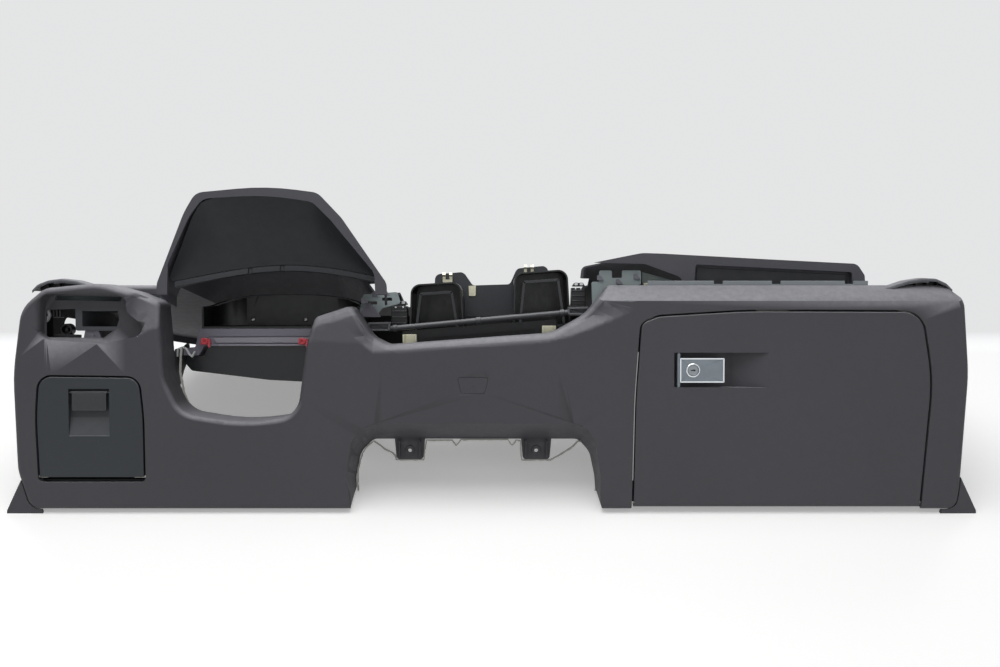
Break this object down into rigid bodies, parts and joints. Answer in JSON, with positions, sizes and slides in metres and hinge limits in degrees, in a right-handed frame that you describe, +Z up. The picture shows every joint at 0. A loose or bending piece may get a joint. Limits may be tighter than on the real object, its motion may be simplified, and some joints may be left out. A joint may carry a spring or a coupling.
{
  "type": "car dashboard assembly",
  "caption": "Stripped car dashboard with instrument hood, hinged glovebox and storage lids, empty centre opening and console arch, lying on a bench",
  "frame": {"origin": "centre of the dashboard's width and depth, at the bench it lies on", "axes": "+X to the right as seen from the seats, +Y towards the windscreen, +Z up"},
  "size_m": [1.48, 0.6469, 0.4666],
  "materials": {
    "fascia_grey": "satin",
    "pad_grey": "matte",
    "lid_charcoal": "satin",
    "black_plastic": "matte",
    "black_gloss": "gloss",
    "mid_grey": "matte",
    "pale_grey": "matte",
    "clip_red": "satin",
    "satin_silver": "satin",
    "bright_steel": "satin",
    "dark_paint": "matte",
    "chrome_trim": "polished"
  },
  "bodies": {
    "dashboard_frame": {"front_fascia": "fascia_grey", "blanking_cap": "fascia_grey", "top_pad": "pad_grey", "hood_inner_panel": "black_plastic", "hood_lower_strip": "black_plastic", "column_strut": "mid_grey", "column_crossmember": "mid_grey", "column_clips": "clip_red", "column_bracket": "pale_grey", "knee_duct": "black_gloss", "instrument_tray": "black_gloss", "centre_duct_left": "black_gloss", "centre_duct_right": "black_gloss", "centre_housing": "black_plastic", "rear_channel": "mid_grey", "duct_clips": "bright_steel", "crossbar_bracket_left": "pale_grey", "crossbar_bracket_right": "pale_grey", "crossbar": "dark_paint", "radio_panel": "black_plastic", "radio_brackets": "bright_steel", "side_blocks": "black_plastic", "centre_bracket_left": "pale_grey", "centre_bracket_right": "pale_grey", "trim_rail": "pale_grey", "carrier_beam_right": "pale_grey", "carrier_beam_left": "pale_grey", "trim_clip": "bright_steel", "side_vent_duct": "mid_grey", "switch_bracket": "pale_grey", "side_vent_hoop_left": "mid_grey", "side_vent_hoop_right": "mid_grey", "glovebox_hinge_pins": "bright_steel", "glovebox_striker": "bright_steel", "glovebox_sill": "black_plastic", "storage_hinge_pins": "bright_steel", "storage_tray": "black_plastic", "corner_bracket_left": "fascia_grey", "corner_bracket_right": "fascia_grey", "end_panel_left": "black_plastic", "end_panel_right": "black_plastic", "defroster_grille": "black_plastic", "defroster_duct": "black_plastic", "speed_nuts": "bright_steel", "tray_screws": "bright_steel"},
    "glovebox_lid_set": {"glovebox_lid": "fascia_grey", "glovebox_tub": "black_plastic", "glovebox_latch": "black_plastic"},
    "glovebox_handle_set": {"glovebox_handle": "satin_silver"},
    "lock_set": {"lock_cylinder": "chrome_trim"},
    "storage_lid_set": {"storage_lid": "lid_charcoal"},
    "storage_handle_set": {"storage_handle": "black_gloss"}
  },
  "joints": [
    {"name": "glovebox_hinge", "type": "hinge", "parent": "dashboard_frame", "child": "glovebox_lid_set", "pos_m": [0.4415, -0.31591, 0.01486], "axis": [1, 0, 0], "range_deg": [0, 60]},
    {"name": "storage_hinge", "type": "hinge", "parent": "dashboard_frame", "child": "storage_lid_set", "pos_m": [-0.61, -0.30316, 0.05279], "axis": [1, 0, 0], "range_deg": [0, 80]},
    {"name": "glovebox_handle_pivot", "type": "hinge", "parent": "glovebox_lid_set", "child": "glovebox_handle_set", "pos_m": [0.2845, -0.24844, 0.20607], "axis": [0, -0.342, -0.9397], "range_deg": [0, 25], "stiffness_Nm_per_rad": 0.05, "springref_deg": -20.05},
    {"name": "storage_handle_pivot", "type": "hinge", "parent": "storage_lid_set", "child": "storage_handle_set", "pos_m": [-0.611, -0.26074, 0.17463], "axis": [-1, 0, 0], "range_deg": [0, 30], "stiffness_Nm_per_rad": 0.03, "springref_deg": -20.05},
    {"name": "lock_turn", "type": "hinge", "parent": "glovebox_handle_set", "child": "lock_set", "pos_m": [0.3055, -0.2522, 0.20744], "axis": [0, 0.9397, -0.342], "range_deg": [0, 90]}
  ]
}
